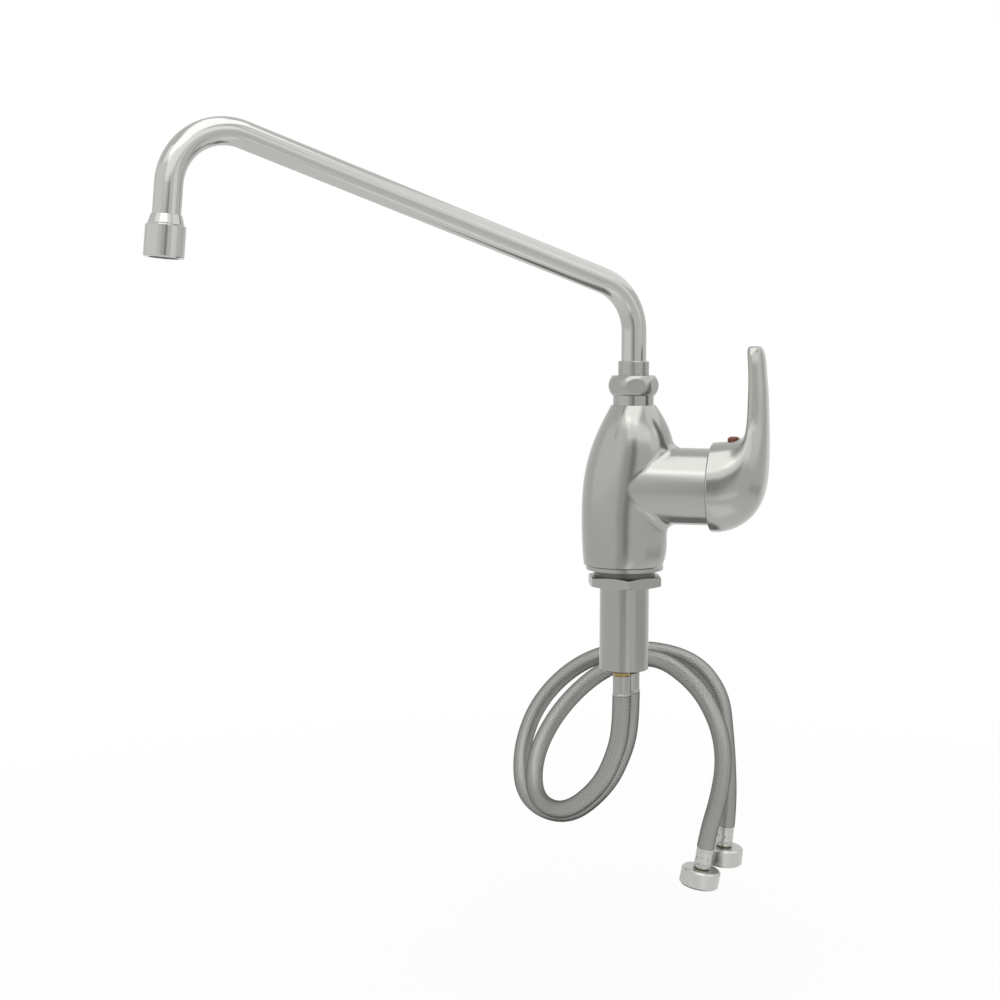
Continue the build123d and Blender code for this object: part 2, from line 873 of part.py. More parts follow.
def coupling_nut():
    return turned(
        (nipple_neck_radius + free_gap, coupling_top),
        (coupling_radius - coupling_edge, coupling_top),
        (coupling_radius, coupling_top + coupling_edge),
        (coupling_radius, coupling_end - coupling_edge),
        (coupling_radius - coupling_edge, coupling_end),
        (coupling_thread_radius, coupling_end),
        (coupling_thread_radius, thread_top),
        (coupling_relief_radius, thread_top),
        (coupling_relief_radius, relief_top),
        (nipple_neck_radius + free_gap, relief_top),
    )


def hose_pieces(name, place, route):
    points = hose_points(place, route)
    end = hose_end(points)
    return {
        name + "_hose_tail": hose_tail(place),
        name + "_tail_o_ring": tail_o_ring(place),
        name + "_upper_sleeve": upper_sleeve(place),
        name + "_hose": braided_hose(name, points),
        name + "_lower_sleeve": end * lower_sleeve(),
        name + "_hose_nipple": end * hose_nipple(),
        name + "_hose_washer": end * hose_washer(),
        name + "_coupling_nut": end * coupling_nut(),
    }


pieces = {
    "body_casting": body_casting(),
    "base_ring": base_ring(),
    "base_gasket": base_gasket(),
    "mounting_shank": mounting_shank(),
    "mounting_nut": mounting_nut(),
    "clamp_washer": clamp_washer(),
    "spout_nut": spout_nut(),
    "glide_ring": glide_ring(),
    "spout_tube": spout_tube(),
    "spout_ferrule": spout_ferrule(),
    "spout_o_rings": Compound(spout_o_rings()),
    "tip_adapter": tip_adapter(),
    "aerator_shell": aerator_shell(),
    "aerator_washer": aerator_washer(),
    "aerator_insert": aerator_insert(),
    "aerator_screen": aerator_screen(),
    "cartridge_base": cartridge_base(),
    "port_seals": Compound(port_seals()),
    "fixed_disc": fixed_disc(),
    "moving_disc": moving_disc(),
    "disc_carrier": disc_carrier(),
    "cartridge_housing": cartridge_housing(),
    "stem_rotor": stem_rotor(),
    "stem_pin": stem_pin(),
    "lever_stem": lever_stem(),
    "cartridge_nut": cartridge_nut(),
    "bonnet_cap": bonnet_cap(),
    "handle": handle(),
    "set_screw": set_screw(),
    "index_button": index_button(),
}
pieces.update(hose_pieces("hot", hot_inlet, hot_route))
pieces.update(hose_pieces("cold", cold_inlet, cold_route))

os.makedirs("parts", exist_ok=True)
for name, shape in pieces.items():
    export_step(shape, f"parts/{name}.step")
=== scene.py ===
from math import cos, pi, radians, sin

import bpy
from bpy.props import FloatProperty, FloatVectorProperty, IntProperty, PointerProperty
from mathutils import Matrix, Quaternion, Vector


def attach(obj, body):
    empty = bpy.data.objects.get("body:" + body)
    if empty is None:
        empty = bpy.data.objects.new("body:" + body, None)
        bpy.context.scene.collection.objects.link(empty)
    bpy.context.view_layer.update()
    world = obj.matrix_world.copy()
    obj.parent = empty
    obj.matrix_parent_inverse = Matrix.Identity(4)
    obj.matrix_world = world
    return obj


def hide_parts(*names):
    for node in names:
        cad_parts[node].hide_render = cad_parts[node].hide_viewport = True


bl_info = {
    "name": "Swing nozzle faucet",
    "version": (1, 0, 0),
    "blender": (4, 5, 0),
    "location": "3D View > Sidebar > Faucet",
    "description": "Dresses the faucet's frame with its metal finishes, woven hoses and studio stage",
    "category": "Object",
}

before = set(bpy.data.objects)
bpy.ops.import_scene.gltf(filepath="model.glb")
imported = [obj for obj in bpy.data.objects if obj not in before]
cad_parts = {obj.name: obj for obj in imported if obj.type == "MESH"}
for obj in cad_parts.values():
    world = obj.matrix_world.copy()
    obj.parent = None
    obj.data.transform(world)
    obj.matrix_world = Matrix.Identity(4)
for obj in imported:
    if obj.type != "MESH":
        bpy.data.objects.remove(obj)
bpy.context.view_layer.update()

# Hose routes in metres, from the sleeve under the shank to the sleeve at the coupling nut
HOT_ROUTE = [
    (0.0002, -0.0066, -0.082),
    (0.0002, -0.0066, -0.098),
    (-0.0025, -0.0065, -0.118),
    (-0.0145, -0.004, -0.1445),
    (-0.041, 0.0035, -0.167),
    (-0.0685, 0.026, -0.1655),
    (-0.0765, 0.054, -0.141),
    (-0.063, 0.075, -0.11),
    (-0.034, 0.085, -0.0825),
    (0.002, 0.08, -0.07),
    (0.0335, 0.071, -0.087),
    (0.051, 0.062, -0.111),
    (0.057, 0.0555, -0.1355),
    (0.0543, 0.0505, -0.1595),
    (0.0483, 0.047, -0.182),
    (0.0463, 0.0464, -0.194),
]
COLD_ROUTE = [
    (0.0032, 0.0066, -0.082),
    (0.0032, 0.0066, -0.098),
    (-0.001, 0.012, -0.121),
    (-0.0155, 0.017, -0.151),
    (-0.046, 0.027, -0.1775),
    (-0.0835, 0.052, -0.174),
    (-0.094, 0.076, -0.145),
    (-0.085, 0.093, -0.111),
    (-0.055, 0.101, -0.0815),
    (-0.014, 0.099, -0.0695),
    (0.027, 0.094, -0.0745),
    (0.048, 0.0885, -0.0965),
    (0.0525, 0.0825, -0.124),
    (0.0553, 0.078, -0.1495),
    (0.0562, 0.075, -0.1725),
    (0.0551, 0.0747, -0.186),
]
HOSES = {
    "hot": {"route": HOT_ROUTE, "length": 0.438},
    "cold": {"route": COLD_ROUTE, "length": 0.477},
}
ROOT_BODY = "faucet_body"
UP = Vector((0, 0, 1))

# Ways to brush a metal: the marks run along the axes with the smallest values
UPRIGHT_BRUSH = (1, 1, 0.12)
LEVEL_BRUSH = (0.2, 0.2, 1)
EVEN_BRUSH = (1, 1, 1)

# What the lamps and cards aim at, and how high a card lies over the floor
STAGE_CENTRE = Vector((0, 0, 0.05))
CARD_LIFT = 0.01


class FaucetFinish(bpy.types.PropertyGroup):
    """Colours and polish of the faucet's surfaces."""

    satin: FloatVectorProperty(
        name="Satin nickel",
        description="Colour of the brushed casting, nut and lever",
        subtype="COLOR",
        default=(0.335, 0.335, 0.316),
    )
    satin_roughness: FloatProperty(
        name="Satin roughness",
        description="How far the brushed plating blurs reflections",
        subtype="FACTOR",
        min=0,
        max=1,
        default=0.2,
    )
    polished: FloatVectorProperty(
        name="Polished nickel",
        description="Colour of the spout tube and its tip",
        subtype="COLOR",
        default=(0.415, 0.415, 0.398),
    )
    polished_roughness: FloatProperty(
        name="Polished roughness",
        description="How far the tube's plating blurs reflections",
        subtype="FACTOR",
        min=0,
        max=1,
        default=0.15,
    )
    shank: FloatVectorProperty(
        name="Shank",
        description="Colour of the threaded shank, its nut and the smooth upper sleeves",
        subtype="COLOR",
        default=(0.33, 0.333, 0.315),
    )
    fitting: FloatVectorProperty(
        name="Coupling nuts",
        description="Colour of the matt nuts and crimped sleeves at the hose ends",
        subtype="COLOR",
        default=(0.46, 0.465, 0.44),
    )
    wire: FloatVectorProperty(
        name="Woven wire",
        description="Colour of the wire woven round the hoses",
        subtype="COLOR",
        default=(0.315, 0.315, 0.298),
    )
    brass: FloatVectorProperty(
        name="Brass",
        description="Colour of the turned brass pieces",
        subtype="COLOR",
        default=(0.31, 0.235, 0.1),
    )
    # The washer's dark colour is painted shade of the recess between the base and the mounting nut.
    washer: FloatVectorProperty(
        name="Clamp washer",
        description="Colour of the dark washer above the mounting nut",
        subtype="COLOR",
        default=(0.12, 0.12, 0.108),
    )
    rubber: FloatVectorProperty(
        name="Rubber",
        description="Colour of the washers and seals",
        subtype="COLOR",
        default=(0.02, 0.02, 0.018),
    )
    plastic: FloatVectorProperty(
        name="White plastic",
        description="Colour of the cartridge and aerator mouldings",
        subtype="COLOR",
        default=(0.66, 0.66, 0.63),
    )
    ceramic: FloatVectorProperty(
        name="Ceramic",
        description="Colour of the valve discs",
        subtype="COLOR",
        default=(0.74, 0.73, 0.7),
    )
    button: FloatVectorProperty(
        name="Index button",
        description="Colour of the red plug on the lever",
        subtype="COLOR",
        default=(0.19, 0.035, 0.018),
    )
    grain: FloatProperty(
        name="Grain size",
        description="Length of the finest brush marks",
        unit="LENGTH",
        min=0.0001,
        default=0.0009,
    )
    thread_pitch: FloatProperty(
        name="Thread pitch",
        description="Distance between the shank's threads",
        unit="LENGTH",
        min=0.0002,
        default=0.0011,
    )


class FaucetHose(bpy.types.PropertyGroup):
    """Sizes of the two woven hoses and their sleeves."""

    thickness: FloatProperty(
        name="Thickness",
        description="Outside diameter of the woven hose",
        unit="LENGTH",
        min=0.002,
        default=0.0118,
    )
    strands: IntProperty(
        name="Strands",
        description="Ribbons of wire that wind each way round the hose",
        min=8,
        default=20,
    )
    lay_length: FloatProperty(
        name="Lay length",
        description="Length of hose in which a ribbon winds once round",
        unit="LENGTH",
        min=0.005,
        default=0.044,
    )
    sides: IntProperty(name="Sides", description="Faces round the hose", min=8, default=40)
    sleeve_thickness: FloatProperty(
        name="Sleeve thickness",
        description="Outside diameter of the sleeves at the hose ends",
        unit="LENGTH",
        min=0.002,
        default=0.0112,
    )
    upper_sleeve: FloatProperty(
        name="Upper sleeve",
        description="Length of the sleeve under the shank",
        unit="LENGTH",
        min=0.002,
        default=0.0135,
    )
    lower_sleeve: FloatProperty(
        name="Lower sleeve",
        description="Length of the sleeve at the coupling nut",
        unit="LENGTH",
        min=0.002,
        default=0.014,
    )
    crimp_depth: FloatProperty(
        name="Crimp depth",
        description="How far the crimping tool pressed into the lower sleeve",
        unit="LENGTH",
        min=0,
        default=0.00045,
    )


class FaucetStage(bpy.types.PropertyGroup):
    """Camera, lamps and floor."""

    camera_place: FloatVectorProperty(
        name="Camera place",
        description="Where the camera stands",
        subtype="TRANSLATION",
        unit="LENGTH",
        default=(0.24786, -1.02874, 0.14786),
    )
    camera_turn: FloatProperty(
        name="Camera turn",
        description="Angle of the view to the left of straight ahead",
        subtype="ANGLE",
        default=radians(17.9),
    )
    camera_dip: FloatProperty(
        name="Camera dip",
        description="Angle of the view below the horizon",
        subtype="ANGLE",
        default=radians(5.6),
    )
    lens: FloatProperty(name="Lens", description="Focal length in millimetres", min=10, default=59.4)
    floor_height: FloatProperty(
        name="Floor height",
        description="Height of the floor under the hanging hoses",
        unit="LENGTH",
        default=-0.3,
    )
    overhead: FloatProperty(
        name="Overhead lamp",
        description="Brightness of the overhead softbox beside white; two more have half of it",
        min=0,
        default=1.38,
    )
    side: FloatProperty(
        name="Side lamps",
        description="Brightness of the side softboxes beside white",
        min=0,
        default=0.25,
    )


def finish():
    """The open scene's finish settings."""
    return bpy.context.scene.faucet_finish


def hose():
    """The open scene's hose settings."""
    return bpy.context.scene.faucet_hose


def stage():
    """The open scene's stage settings."""
    return bpy.context.scene.faucet_stage


def add_object(name, data):
    """A new object in the scene that shows the data."""
    piece = bpy.data.objects.new(name, data)
    bpy.context.scene.collection.objects.link(piece)
    return piece


def add_mesh(name, points, faces, smooth=True):
    """A new object whose mesh has the points and faces."""
    mesh = bpy.data.meshes.new(name)
    mesh.from_pydata(points, [], faces)
    mesh.polygons.foreach_set("use_smooth", [smooth] * len(mesh.polygons))
    mesh.update()
    return add_object(name, mesh)


# Node helpers


def group_tree(name, inputs, outputs):
    """An empty node group with its named sockets, and its input and output nodes."""
    tree = bpy.data.node_groups.new(name, "ShaderNodeTree")
    for label, kind, value in inputs:
        socket = tree.interface.new_socket(label, in_out="INPUT", socket_type="NodeSocket" + kind)
        socket.default_value = value
    for label, kind in outputs:
        tree.interface.new_socket(label, in_out="OUTPUT", socket_type="NodeSocket" + kind)
    return tree, tree.nodes.new("NodeGroupInput"), tree.nodes.new("NodeGroupOutput")


def connect(tree, source, target):
    """Links an output socket to an input socket."""
    tree.links.new(source, target)


def feed(tree, value, socket):
    """Gives an input socket its value, which is another node's output or a constant."""
    if isinstance(value, bpy.types.NodeSocket):
        connect(tree, value, socket)
    else:
        socket.default_value = value


def math_node(tree, operation, *values):
    """A Math node whose inputs are sockets or plain numbers."""
    node = tree.nodes.new("ShaderNodeMath")
    node.operation = operation
    for socket, value in zip(node.inputs, values):
        feed(tree, value, socket)
    return node.outputs[0]


def map_range(tree, value, low, high):
    """Spreads a value that runs from 0 to 1 between two numbers."""
    node = tree.nodes.new("ShaderNodeMapRange")
    connect(tree, value, node.inputs["Value"])
    node.inputs["To Min"].default_value = low
    node.inputs["To Max"].default_value = high
    return node.outputs["Result"]


def noise(tree, place, scale, detail):
    """A noise value over a place, with its scale given as a socket or a number."""
    node = tree.nodes.new("ShaderNodeTexNoise")
    connect(tree, place, node.inputs["Vector"])
    feed(tree, scale, node.inputs["Scale"])
    node.inputs["Detail"].default_value = detail
    return node.outputs["Fac"]


def swing(tree, value, strength):
    """Moves a noise value so that it swings about zero, and scales it."""
    return math_node(tree, "MULTIPLY", math_node(tree, "SUBTRACT", value, 0.5), strength)


def object_place(tree):
    """The place on the object, in metres."""
    return tree.nodes.new("ShaderNodeTexCoord").outputs["Object"]


def tinted(tree, colour, shade):
    """A colour, given as a socket or as three numbers, multiplied by a grey value."""
    node = tree.nodes.new("ShaderNodeVectorMath")
    node.operation = "SCALE"
    feed(tree, colour, node.inputs[0])
    connect(tree, shade, node.inputs["Scale"])
    return node.outputs["Vector"]


def plating_group():
    """Brush marks and faint clouding of a plated surface."""
    name = "Plating"
    clouds_per_metre = 38
    roughness_swing = 2
    if name in bpy.data.node_groups:
        return bpy.data.node_groups[name]
    tree, given, made = group_tree(
        name,
        [
            ("Colour", "Color", (0.5, 0.5, 0.5, 1)),
            ("Roughness", "Float", 0.25),
            ("Grain Size", "Float", 0.001),
            ("Brush Direction", "Vector", (1, 1, 0.1)),
            ("Brush Marks", "Float", 0.1),
            ("Clouding", "Float", 0.06),
        ],
        [("Colour", "Color"), ("Roughness", "Float"), ("Height", "Float")],
    )
    place = object_place(tree)
    stretched = tree.nodes.new("ShaderNodeVectorMath")
    stretched.operation = "MULTIPLY"
    connect(tree, place, stretched.inputs[0])
    connect(tree, given.outputs["Brush Direction"], stretched.inputs[1])
    fineness = math_node(tree, "DIVIDE", 1, given.outputs["Grain Size"])
    marks = noise(tree, stretched.outputs["Vector"], fineness, detail=4)
    clouds = noise(tree, place, clouds_per_metre, detail=3)
    mark_shift = swing(tree, marks, given.outputs["Brush Marks"])
    cloud_shift = swing(tree, clouds, given.outputs["Clouding"])
    shade = math_node(tree, "ADD", 1, math_node(tree, "ADD", mark_shift, cloud_shift))
    connect(tree, tinted(tree, given.outputs["Colour"], shade), made.inputs["Colour"])
    dull = math_node(tree, "ADD", 1, math_node(tree, "MULTIPLY", mark_shift, roughness_swing))
    connect(tree, math_node(tree, "MULTIPLY", given.outputs["Roughness"], dull), made.inputs["Roughness"])
    connect(tree, marks, made.inputs["Height"])
    return tree


def moulding_group():
    """Fine pitting and clouding of moulded plastic, rubber and ceramic."""
    name = "Moulding"
    clouds_per_metre = 120
    if name in bpy.data.node_groups:
        return bpy.data.node_groups[name]
    tree, given, made = group_tree(
        name,
        [
            ("Colour", "Color", (0.5, 0.5, 0.5, 1)),
            ("Pit Size", "Float", 0.0006),
            ("Clouding", "Float", 0.12),
        ],
        [("Colour", "Color"), ("Height", "Float")],
    )
    place = object_place(tree)
    fineness = math_node(tree, "DIVIDE", 1, given.outputs["Pit Size"])
    pits = noise(tree, place, fineness, detail=2)
    clouds = noise(tree, place, clouds_per_metre, detail=3)
    shade = math_node(tree, "ADD", 1, swing(tree, clouds, given.outputs["Clouding"]))
    connect(tree, tinted(tree, given.outputs["Colour"], shade), made.inputs["Colour"])
    connect(tree, pits, made.inputs["Height"])
    return tree


# Materials


def new_material(name):
    """A new material with its node tree and its surface shader."""
    material = bpy.data.materials.new(name)
    material.use_nodes = True
    return material, material.node_tree, material.node_tree.nodes["Principled BSDF"]


def raise_surface(tree, shader, height, strength, distance):
    """Bumps the shader's surface by a height."""
    bump = tree.nodes.new("ShaderNodeBump")
    bump.inputs["Strength"].default_value = strength
    bump.inputs["Distance"].default_value = distance
    connect(tree, height, bump.inputs["Height"])
    connect(tree, bump.outputs["Normal"], shader.inputs["Normal"])


def place_group(tree, group, values):
    """A node group placed in a material with the material's own values."""
    node = tree.nodes.new("ShaderNodeGroup")
    node.node_tree = group
    for name, value in values.items():
        node.inputs[name].default_value = value
    return node


def opaque(colour):
    """A colour with full alpha."""
    return (*colour, 1)


def plated_metal(name, colour, roughness, brush=UPRIGHT_BRUSH, marks=0.05, clouding=0.04):
    """Plated metal with brush marks and faint clouding."""
    if name in bpy.data.materials:
        return bpy.data.materials[name]
    material, tree, shader = new_material(name)
    plating = place_group(
        tree,
        plating_group(),
        {
            "Colour": opaque(colour),
            "Roughness": roughness,
            "Grain Size": finish().grain,
            "Brush Direction": brush,
            "Brush Marks": marks,
            "Clouding": clouding,
        },
    )
    shader.inputs["Metallic"].default_value = 1
    connect(tree, plating.outputs["Colour"], shader.inputs["Base Color"])
    connect(tree, plating.outputs["Roughness"], shader.inputs["Roughness"])
    raise_surface(tree, shader, plating.outputs["Height"], strength=0.02, distance=0.00005)
    return material


def moulded(name, colour, roughness, pit_strength=0.15):
    """Plastic, rubber or ceramic with a fine moulded skin."""
    if name in bpy.data.materials:
        return bpy.data.materials[name]
    material, tree, shader = new_material(name)
    skin = place_group(tree, moulding_group(), {"Colour": opaque(colour)})
    shader.inputs["Roughness"].default_value = roughness
    connect(tree, skin.outputs["Colour"], shader.inputs["Base Color"])
    raise_surface(tree, shader, skin.outputs["Height"], strength=pit_strength, distance=0.0001)
    return material


def threaded_metal():
    """The shank's plating with a fine thread wound round its upright axis."""
    settings = finish()
    material, tree, shader = new_material("Threaded shank")
    plating = place_group(
        tree,
        plating_group(),
        {"Colour": opaque(settings.shank), "Roughness": 0.16, "Grain Size": settings.grain},
    )
    axes = tree.nodes.new("ShaderNodeSeparateXYZ")
    connect(tree, object_place(tree), axes.inputs[0])
    turn = math_node(tree, "ARCTAN2", axes.outputs["Y"], axes.outputs["X"])
    climb = math_node(tree, "DIVIDE", axes.outputs["Z"], settings.thread_pitch)
    winding = math_node(tree, "ADD", climb, math_node(tree, "DIVIDE", turn, 2 * pi))
    ridge = math_node(tree, "PINGPONG", winding, 0.5)
    shader.inputs["Metallic"].default_value = 1
    connect(tree, plating.outputs["Colour"], shader.inputs["Base Color"])
    connect(tree, plating.outputs["Roughness"], shader.inputs["Roughness"])
    raise_surface(tree, shader, ridge, strength=0.03, distance=0.0004)
    return material


def woven_wire():
    """Ribbons of wire that wind both ways round the hose and pass over and under each other."""
    settings = hose()
    wires = 5
    wire_relief = 0.12
    painted_gap_shade = 0.5
    painted_crown_highlight = 1.1
    material, tree, shader = new_material("Woven wire")
    chart = tree.nodes.new("ShaderNodeUVMap")
    chart.uv_map = "Weave"
    axes = tree.nodes.new("ShaderNodeSeparateXYZ")
    connect(tree, chart.outputs["UV"], axes.inputs[0])
    round_hose = math_node(tree, "MULTIPLY", axes.outputs["X"], settings.strands)
    along_hose = math_node(tree, "MULTIPLY", axes.outputs["Y"], settings.strands)
    right_hand = math_node(tree, "ADD", round_hose, along_hose)
    left_hand = math_node(tree, "SUBTRACT", round_hose, along_hose)

    def ribbon(winding):
        """A rounded ribbon made of a few wires side by side."""
        across = math_node(tree, "FRACT", winding)
        crown = math_node(tree, "SINE", math_node(tree, "MULTIPLY", across, pi))
        ridges = math_node(tree, "SINE", math_node(tree, "MULTIPLY", across, 2 * pi * wires))
        return math_node(tree, "ADD", crown, math_node(tree, "MULTIPLY", ridges, wire_relief))

    right_row = math_node(tree, "FLOOR", right_hand)
    left_row = math_node(tree, "FLOOR", left_hand)
    over = math_node(tree, "FLOORED_MODULO", math_node(tree, "ADD", right_row, left_row), 2)
    top = math_node(tree, "MULTIPLY", ribbon(right_hand), over)
    under = math_node(tree, "MULTIPLY", ribbon(left_hand), math_node(tree, "SUBTRACT", 1, over))
    relief = math_node(tree, "ADD", top, under)
    # Painted shade darkens the gaps between the ribbons and a painted highlight lightens their crowns.
    shade = map_range(tree, relief, painted_gap_shade, painted_crown_highlight)
    shader.inputs["Metallic"].default_value = 1
    shader.inputs["Roughness"].default_value = 0.3
    # The dark edge tint is painted shade along the hose's edges, where the wires shade each other.
    shader.inputs["Specular Tint"].default_value = (0.25, 0.25, 0.25, 1)
    connect(tree, tinted(tree, finish().wire, shade), shader.inputs["Base Color"])
    raise_surface(tree, shader, relief, strength=0.4, distance=0.0003)
    return material


def satin_nickel():
    """The brushed finish of the casting and the lever."""
    return plated_metal("Satin nickel", finish().satin, finish().satin_roughness)


def satin_nut():
    """The spout nut's finish, a little duller than the casting's."""
    return plated_metal("Satin nut", finish().satin, roughness=0.3)


def polished_nickel():
    """The brighter finish of the spout."""
    settings = finish()
    roughness = settings.polished_roughness
    return plated_metal("Polished nickel", settings.polished, roughness, marks=0.03, clouding=0.03)


def plated_nut():
    """The mounting nut's finish."""
    return plated_metal("Plated nut", finish().shank, roughness=0.3, brush=EVEN_BRUSH)


def smooth_sleeve():
    """The finish of the sleeves under the shank."""
    return plated_metal("Smooth sleeve", finish().shank, roughness=0.24)


def shade_darkened_washer():
    """The clamp washer's steel, darkened with painted shade of the recess under the base."""
    return plated_metal("Dark washer", finish().washer, roughness=0.35, brush=EVEN_BRUSH)


def matt_fitting():
    """The dull plating of the coupling nuts, crimped sleeves and small steel pieces."""
    return plated_metal("Matt fitting", finish().fitting, roughness=0.34, brush=EVEN_BRUSH, marks=0.08)


def turned_brass():
    """Brass with fine marks that lie level."""
    return plated_metal("Turned brass", finish().brass, roughness=0.3, brush=LEVEL_BRUSH)


def black_rubber():
    """The rubber of the seals and washers."""
    return moulded("Black rubber", finish().rubber, roughness=0.55)


def white_plastic():
    """The plastic of the cartridge, the aerator and the glide ring."""
    return moulded("White plastic", finish().plastic, roughness=0.45)


def valve_ceramic():
    """The ground ceramic of the valve discs."""
    return moulded("Ceramic", finish().ceramic, roughness=0.15, pit_strength=0.02)


def red_plastic():
    """The index button's plastic."""
    return moulded("Index button", finish().button, roughness=0.35)


def dress(material, *nodes):
    """Gives a material to nodes of the frame."""
    for node in nodes:
        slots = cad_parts[node].data.materials
        slots.clear()
        slots.append(material)


def both(piece):
    """The names of a piece on the hot and on the cold hose."""
    return [f"{name}_{piece}" for name in HOSES]


# Hoses


def route_points(name, route):
    """Points along the smooth line through a route, read from a spline with no thickness."""
    curve = bpy.data.curves.new(name, "CURVE")
    curve.dimensions = "3D"
    curve.resolution_u = 12
    spline = curve.splines.new("NURBS")
    spline.points.add(len(route) - 1)
    for point, place in zip(spline.points, route):
        point.co = (*place, 1)
    spline.order_u = 3
    spline.use_endpoint_u = True
    holder = add_object(name, curve)
    bpy.context.view_layer.update()
    line = bpy.data.meshes.new_from_object(holder)
    points = [vertex.co.copy() for vertex in line.vertices]
    bpy.data.objects.remove(holder)
    bpy.data.meshes.remove(line)
    bpy.data.curves.remove(curve)
    return points


def carried_frames(points):
    """A sideways direction at each point that turns no more than the line itself does."""
    headings = []
    for number in range(len(points)):
        before = points[max(number - 1, 0)]
        after = points[min(number + 1, len(points) - 1)]
        headings.append((after - before).normalized())
    sideways = headings[0].orthogonal().normalized()
    frames = []
    for earlier, heading in zip([headings[0]] + headings, headings):
        sideways = earlier.rotation_difference(heading) @ sideways
        frames.append((heading, sideways))
    return frames


def ring_faces(rings, sides):
    """Faces between the rings of a tube whose points run ring by ring."""
    faces = []
    for ring in range(rings - 1):
        here = ring * sides
        there = here + sides
        for side in range(sides):
            turn = (side + 1) % sides
            faces.append((here + side, here + turn, there + turn, there + side))
    return faces


def swept_tube(name, points, radius, sides, lay_length):
    """A tube along points, charted so that the weave keeps its size along the hose."""
    verts = []
    for point, (heading, sideways) in zip(points, carried_frames(points)):
        for side in range(sides):
            spoke = Quaternion(heading, 2 * pi * side / sides) @ sideways
            verts.append(point + spoke * radius)
    tube = add_mesh(name, verts, ring_faces(len(points), sides))
    travelled = [0]
    for start, end in zip(points, points[1:]):
        travelled.append(travelled[-1] + (end - start).length)
    charts = []
    for start, end in zip(travelled, travelled[1:]):
        near = start / lay_length
        far = end / lay_length
        for side in range(sides):
            left = side / sides
            right = (side + 1) / sides
            charts.extend([(left, near), (right, near), (right, far), (left, far)])
    layer = tube.data.uv_layers.new(name="Weave")
    for corner, place in zip(layer.data, charts):
        corner.uv = place
    return tube


def turned_piece(name, start, heading, profile, sides, dent=None):
    """A piece turned about an axis from (distance along, radius) points; dent gives its dents' depth."""
    sideways = heading.orthogonal().normalized()
    verts = []
    for along, radius in profile:
        for side in range(sides):
            angle = 2 * pi * side / sides
            spoke = Quaternion(heading, angle) @ sideways
            depth = dent(along, angle) if dent else 0
            verts.append(start + heading * along + spoke * (radius - depth))
    return add_mesh(name, verts, ring_faces(len(profile), sides))


def upper_sleeve(name, start):
    """The smooth sleeve under the shank, with a rolled lip where the weave goes in."""
    settings = hose()
    radius = settings.sleeve_thickness / 2
    length = settings.upper_sleeve
    top_bore = radius * 0.78
    mouth_bore = radius * 0.9
    edge = 0.0005
    lip = 0.0016
    lip_swell = 0.0004
    lip_steps = 6
    profile = [(0, top_bore), (0, radius - edge), (edge, radius), (2 * edge, radius)]
    profile += [(length - lip - edge, radius), (length - lip, radius)]
    for step in range(lip_steps + 1):
        angle = pi * step / lip_steps
        profile.append((length - lip / 2 - cos(angle) * lip / 2, radius + sin(angle) * lip_swell))
    profile.append((length, mouth_bore))
    return turned_piece(name, start, -UP, profile, sides=48)


def lower_sleeve(name, start, heading):
    """The crimped sleeve at the coupling nut, with three rows of small dents."""
    settings = hose()
    radius = settings.sleeve_thickness / 2
    length = settings.lower_sleeve
    mouth_bore = radius * 0.9
    nut_bore = radius * 0.8
    edge = 0.0004
    rows = 3
    dents = 8
    dent_half_length = 0.2
    dent_half_width = 0.28
    dent_steepness = 2
    steps = 56

    def dent(along, angle):
        """The dents' depth at a place; the middle row is shifted by half a dent."""
        place = along / length * rows
        row = int(place)
        lengthwise = max(0, 1 - abs(place - row - 0.5) / dent_half_length)
        round_share = angle / (2 * pi) * dents + 0.5 * (row % 2)
        sidewise = max(0, 1 - abs(round_share % 1 - 0.5) / dent_half_width)
        return settings.crimp_depth * min(1, dent_steepness * lengthwise * sidewise)

    profile = [(0, mouth_bore)]
    for step in range(steps + 1):
        inset = edge if step in (0, steps) else 0
        profile.append((step / steps * length, radius - inset))
    profile.append((length, nut_bore))
    return turned_piece(name, start, heading, profile, sides=96, dent=dent)


def make_hose(name, facts):
    """One woven hose with its two sleeves."""
    settings = hose()
    radius = settings.thickness / 2
    points = route_points(f"{name}_route", facts["route"])
    tube = swept_tube(f"{name}_woven_hose", points, radius, settings.sides, settings.lay_length)
    tube.data.materials.append(bpy.data.materials.get("Woven wire") or woven_wire())
    start = Vector(facts["route"][0])
    top = upper_sleeve(f"{name}_sleeve_upper", start + UP * settings.upper_sleeve)
    end = Vector(facts["route"][-1])
    heading = (end - Vector(facts["route"][-2])).normalized()
    bottom = lower_sleeve(f"{name}_sleeve_lower", end, heading)
    top.data.materials.append(smooth_sleeve())
    bottom.data.materials.append(matt_fitting())
    for sleeve, node in ((top, "upper_sleeve"), (bottom, "lower_sleeve")):
        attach(sleeve, ROOT_BODY)
        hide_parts(f"{name}_{node}")
    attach(tube, ROOT_BODY)
    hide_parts(f"{name}_hose")


# Stage


def around(angle, rise, distance):
    """A place round the faucet, so many degrees to the right of the camera and above the level."""
    heading = radians(angle) + stage().camera_turn
    flat = Vector((sin(heading), -cos(heading), 0))
    return STAGE_CENTRE + (flat * cos(radians(rise)) + UP * sin(radians(rise))) * distance


def stand(holder, place, aim):
    """Stands a lamp or a card at a place, facing what it aims at."""
    holder.location = place
    holder.rotation_euler = (aim - place).to_track_quat("-Z", "Y").to_euler()


def rectangle(name, width, height):
    """A flat sheet about its own middle."""
    x = width / 2
    y = height / 2
    corners = [(-x, -y, 0), (x, -y, 0), (x, y, 0), (-x, y, 0)]
    return add_mesh(name, corners, [(0, 1, 2, 3)], smooth=False)


def softbox(name, place, width, height, level, aim=STAGE_CENTRE):
    """A large soft lamp; its power follows from its area so that a level of 1 looks white."""
    lamp = bpy.data.lights.new(name, "AREA")
    lamp.shape = "RECTANGLE"
    lamp.size = width
    lamp.size_y = height
    lamp.energy = level * pi * width * height
    stand(add_object(name, lamp), place, aim)


